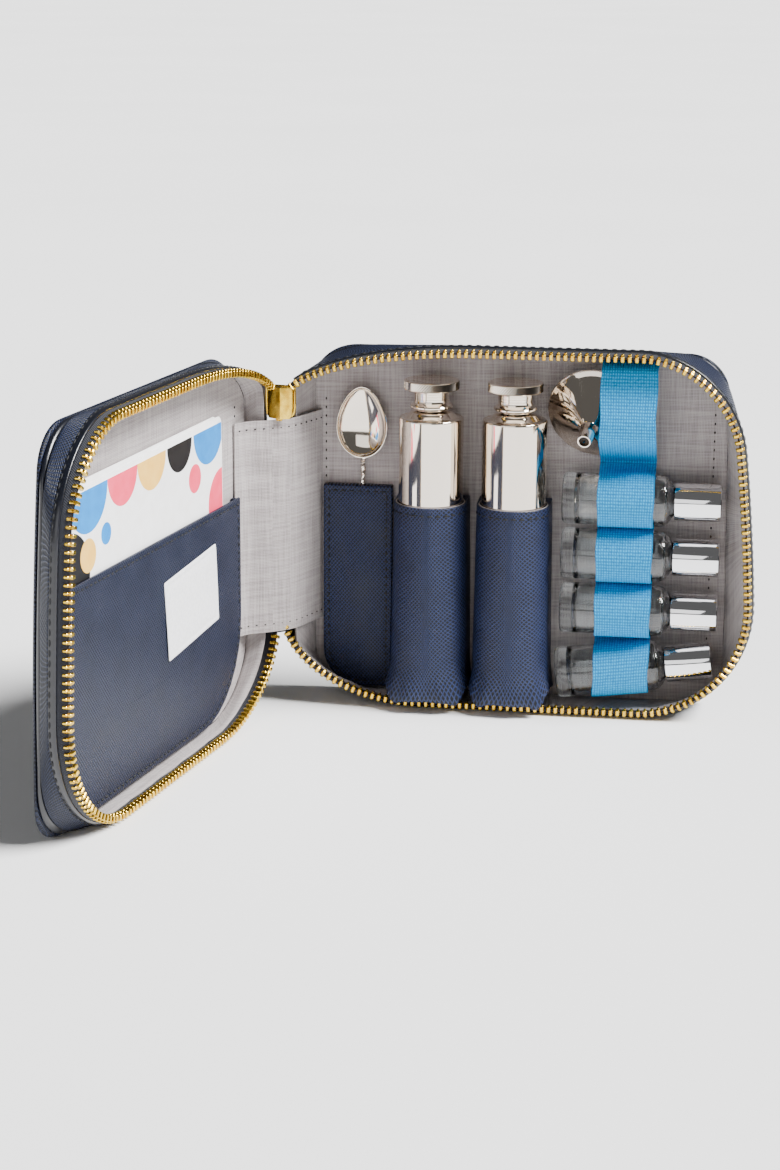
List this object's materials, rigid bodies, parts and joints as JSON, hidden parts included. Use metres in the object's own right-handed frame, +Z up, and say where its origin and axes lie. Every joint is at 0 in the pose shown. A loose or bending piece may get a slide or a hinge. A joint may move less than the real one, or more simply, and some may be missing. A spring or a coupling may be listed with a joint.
{
  "type": "travel bar case",
  "caption": "Zip-around navy case that stands open like a book, with flasks and a spoon in leather pockets, small vials and a funnel under an elastic band, and cards in the lid",
  "frame": {"origin": "on the floor under the outer face of the base half's back panel, midway along the base half's width", "axes": "+X from the fold to the base half's free edge, +Y out of the base half's back, +Z up"},
  "size_m": [0.2204, 0.1899, 0.1344],
  "materials": {
    "navy_leather": "cross-grained, satin",
    "grey_lining": "woven linen, matte",
    "stiffener": "plain",
    "navy_tape": "woven tape, matte",
    "brass_zip": "polished",
    "polished_steel": "polished, warm nickel",
    "chrome_cap": "polished",
    "clear_glass": "clear",
    "seal_rubber": "matte",
    "blue_elastic": "ribbed woven elastic",
    "label_white": "woven satin label, bare",
    "card_white": "printed card stock"
  },
  "bodies": {
    "base": {"base_back_panel": "navy_leather", "base_stiffener_board": "stiffener", "base_back_lining": "grey_lining", "base_side_wall": "navy_leather", "base_edge_binding": "navy_leather", "base_wall_lining": "grey_lining", "base_piping": "navy_leather", "base_zip_teeth": "brass_zip", "base_zip_tape": "navy_tape", "base_spine_leaf": "navy_leather", "spine_lining": "grey_lining", "zip_slider": "brass_zip", "flask_pocket_left": "navy_leather", "flask_pocket_right": "navy_leather", "spoon_pocket": "navy_leather", "elastic_band": "blue_elastic", "funnel": "polished_steel"},
    "lid": {"lid_back_panel": "navy_leather", "lid_stiffener_board": "stiffener", "lid_back_lining": "grey_lining", "lid_side_wall": "navy_leather", "lid_edge_binding": "navy_leather", "lid_wall_lining": "grey_lining", "lid_piping": "navy_leather", "lid_zip_teeth": "brass_zip", "lid_zip_tape": "navy_tape", "lid_spine_leaf": "navy_leather", "card_pocket": "navy_leather", "sewn_label": "label_white"},
    "zip_pull": {"zip_pull": "brass_zip"},
    "flask_left": {"flask_left": "polished_steel"},
    "flask_left_seal": {"flask_left_seal": "seal_rubber"},
    "flask_left_cap": {"flask_left_cap": "polished_steel"},
    "flask_right": {"flask_right": "polished_steel"},
    "flask_right_seal": {"flask_right_seal": "seal_rubber"},
    "flask_right_cap": {"flask_right_cap": "polished_steel"},
    "vial_1": {"vial_1_glass": "clear_glass"},
    "vial_1_seal": {"vial_1_seal": "seal_rubber"},
    "vial_1_cap": {"vial_1_cap": "chrome_cap"},
    "vial_2": {"vial_2_glass": "clear_glass"},
    "vial_2_seal": {"vial_2_seal": "seal_rubber"},
    "vial_2_cap": {"vial_2_cap": "chrome_cap"},
    "vial_3": {"vial_3_glass": "clear_glass"},
    "vial_3_seal": {"vial_3_seal": "seal_rubber"},
    "vial_3_cap": {"vial_3_cap": "chrome_cap"},
    "vial_4": {"vial_4_glass": "clear_glass"},
    "vial_4_seal": {"vial_4_seal": "seal_rubber"},
    "vial_4_cap": {"vial_4_cap": "chrome_cap"},
    "bar_spoon": {"bar_spoon": "polished_steel"},
    "recipe_card_1": {"recipe_card_1": "card_white"},
    "recipe_card_2": {"recipe_card_2": "card_white"},
    "recipe_card_3": {"recipe_card_3": "card_white"}
  },
  "joints": [
    {"name": "lid_fold", "type": "hinge", "parent": "base", "child": "lid", "pos_m": [-0.0825, -0.012, 0], "axis": [0, 0, 1], "range_deg": [-78, 102], "deforming": ["spine_lining"]},
    {"name": "zip_pull_swing", "type": "hinge", "parent": "base", "child": "zip_pull", "pos_m": [-0.08195, -0.00809, 0.1166], "axis": [0.9903, -0.1392, 0], "range_deg": [0, 80]},
    {"name": "flask_left_slide", "type": "slide", "parent": "base", "child": "flask_left", "axis": [0, 0, 1], "range_m": [0, 0.0045]},
    {"name": "flask_left_cap_lift", "type": "slide", "parent": "flask_left", "child": "flask_left_seal", "axis": [0, 0, 1], "range_m": [0, 0.00306]},
    {"name": "flask_left_cap_turn", "type": "hinge", "parent": "flask_left_seal", "child": "flask_left_cap", "pos_m": [-0.0291, -0.00415, 0.117], "axis": [0, 0, 1], "range_deg": [0, 720]},
    {"name": "flask_right_slide", "type": "slide", "parent": "base", "child": "flask_right", "axis": [0, 0, 1], "range_m": [0, 0.0045]},
    {"name": "flask_right_cap_lift", "type": "slide", "parent": "flask_right", "child": "flask_right_seal", "axis": [0, 0, 1], "range_m": [0, 0.00306]},
    {"name": "flask_right_cap_turn", "type": "hinge", "parent": "flask_right_seal", "child": "flask_right_cap", "pos_m": [0.0009, -0.00415, 0.117], "axis": [0, 0, 1], "range_deg": [0, 720]},
    {"name": "vial_1_slide", "type": "slide", "parent": "base", "child": "vial_1", "axis": [0.9917, 0, 0.1289], "range_m": [-0.0012, 0]},
    {"name": "vial_1_cap_lift", "type": "slide", "parent": "vial_1", "child": "vial_1_seal", "axis": [0.9917, 0, 0.1289], "range_m": [0, 0.00102]},
    {"name": "vial_1_cap_turn", "type": "hinge", "parent": "vial_1_seal", "child": "vial_1_cap", "pos_m": [0.0665, -0.0012, 0.02008], "axis": [0.9917, 0, 0.1289], "range_deg": [0, 288]},
    {"name": "vial_2_slide", "type": "slide", "parent": "base", "child": "vial_2", "axis": [1, 0, 0], "range_m": [-0.002, 0.001]},
    {"name": "vial_2_cap_lift", "type": "slide", "parent": "vial_2", "child": "vial_2_seal", "axis": [1, 0, 0], "range_m": [0, 0.00102]},
    {"name": "vial_2_cap_turn", "type": "hinge", "parent": "vial_2_seal", "child": "vial_2_cap", "pos_m": [0.0665, -0.0012, 0.0387], "axis": [1, 0, 0], "range_deg": [0, 288]},
    {"name": "vial_3_slide", "type": "slide", "parent": "base", "child": "vial_3", "axis": [1, 0, 0], "range_m": [-0.002, 0.001]},
    {"name": "vial_3_cap_lift", "type": "slide", "parent": "vial_3", "child": "vial_3_seal", "axis": [1, 0, 0], "range_m": [0, 0.00102]},
    {"name": "vial_3_cap_turn", "type": "hinge", "parent": "vial_3_seal", "child": "vial_3_cap", "pos_m": [0.0665, -0.0012, 0.0591], "axis": [1, 0, 0], "range_deg": [0, 288]},
    {"name": "vial_4_slide", "type": "slide", "parent": "base", "child": "vial_4", "axis": [1, 0, 0], "range_m": [-0.002, 0.001]},
    {"name": "vial_4_cap_lift", "type": "slide", "parent": "vial_4", "child": "vial_4_seal", "axis": [1, 0, 0], "range_m": [0, 0.00102]},
    {"name": "vial_4_cap_turn", "type": "hinge", "parent": "vial_4_seal", "child": "vial_4_cap", "pos_m": [0.0665, -0.0012, 0.0795], "axis": [1, 0, 0], "range_deg": [0, 288]},
    {"name": "bar_spoon_slide", "type": "slide", "parent": "base", "child": "bar_spoon", "axis": [0, 0, 1], "range_m": [0, 0.01]},
    {"name": "recipe_card_1_slide", "type": "slide", "parent": "lid", "child": "recipe_card_1", "axis": [0, 0, 1], "range_m": [0, 0.012]},
    {"name": "recipe_card_2_slide", "type": "slide", "parent": "lid", "child": "recipe_card_2", "axis": [0, 0, 1], "range_m": [0, 0.012]},
    {"name": "recipe_card_3_slide", "type": "slide", "parent": "lid", "child": "recipe_card_3", "axis": [0, 0, 1], "range_m": [0, 0.012]}
  ],
  "couplings": [
    {"joint": "flask_left_cap_lift", "follows": "flask_left_cap_turn", "m_per_rad": 0.00023873},
    {"joint": "flask_right_cap_lift", "follows": "flask_right_cap_turn", "m_per_rad": 0.00023873},
    {"joint": "vial_1_cap_lift", "follows": "vial_1_cap_turn", "m_per_rad": 0.00019894},
    {"joint": "vial_2_cap_lift", "follows": "vial_2_cap_turn", "m_per_rad": 0.00019894},
    {"joint": "vial_3_cap_lift", "follows": "vial_3_cap_turn", "m_per_rad": 0.00019894},
    {"joint": "vial_4_cap_lift", "follows": "vial_4_cap_turn", "m_per_rad": 0.00019894}
  ]
}
